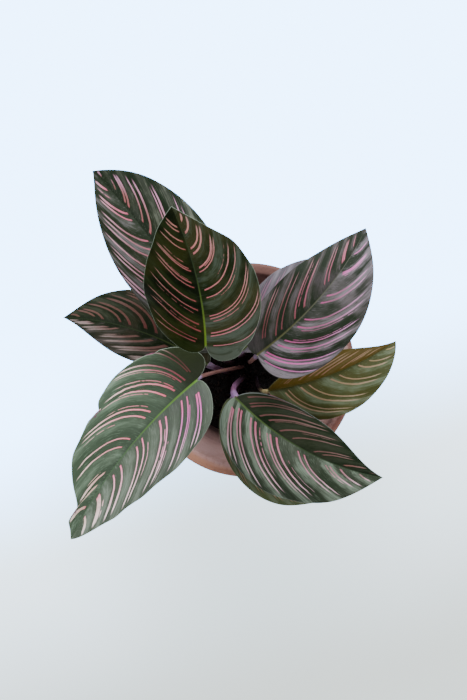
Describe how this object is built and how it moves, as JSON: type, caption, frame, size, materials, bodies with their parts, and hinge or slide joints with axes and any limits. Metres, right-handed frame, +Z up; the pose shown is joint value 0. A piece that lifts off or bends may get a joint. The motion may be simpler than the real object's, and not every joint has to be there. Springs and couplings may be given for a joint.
{
  "type": "pinstripe calathea in a terracotta pot",
  "caption": "A potted foliage plant: waved dark green leaves with fine paired pink stripes on slim stalks in a tapered clay pot with a rim band.",
  "frame": {"origin": "the middle of the underside of the pot's foot, on the surface that the pot stands on", "axes": "+Z up; the reference picture looks straight down -Z with +X to its right and +Y to its top"},
  "size_m": [0.1867, 0.1916, 0.2299],
  "materials": {
    "terracotta": "matt, unglazed, with pale mineral bloom",
    "soil": "matt, crumbly, damp",
    "leaf": "satin leaf with paired pink stripes above, purple below",
    "leafstalk": "satin mauve to cream stalk"
  },
  "bodies": {
    "root": {"pot": "terracotta", "soil": "soil", "blade_rear_left": "leaf", "blade_rear_tall": "leaf", "blade_left": "leaf", "blade_front_left": "leaf", "blade_rear_right": "leaf", "blade_rear_under": "leaf", "blade_right": "leaf", "blade_front_right": "leaf", "blade_front_under": "leaf", "stalk_rear_left": "leafstalk", "stalk_rear_tall": "leafstalk", "stalk_left": "leafstalk", "stalk_front_left": "leafstalk", "stalk_rear_right": "leafstalk", "stalk_rear_under": "leafstalk", "stalk_right": "leafstalk", "stalk_front_right": "leafstalk", "stalk_front_under": "leafstalk"}
  },
  "joints": []
}
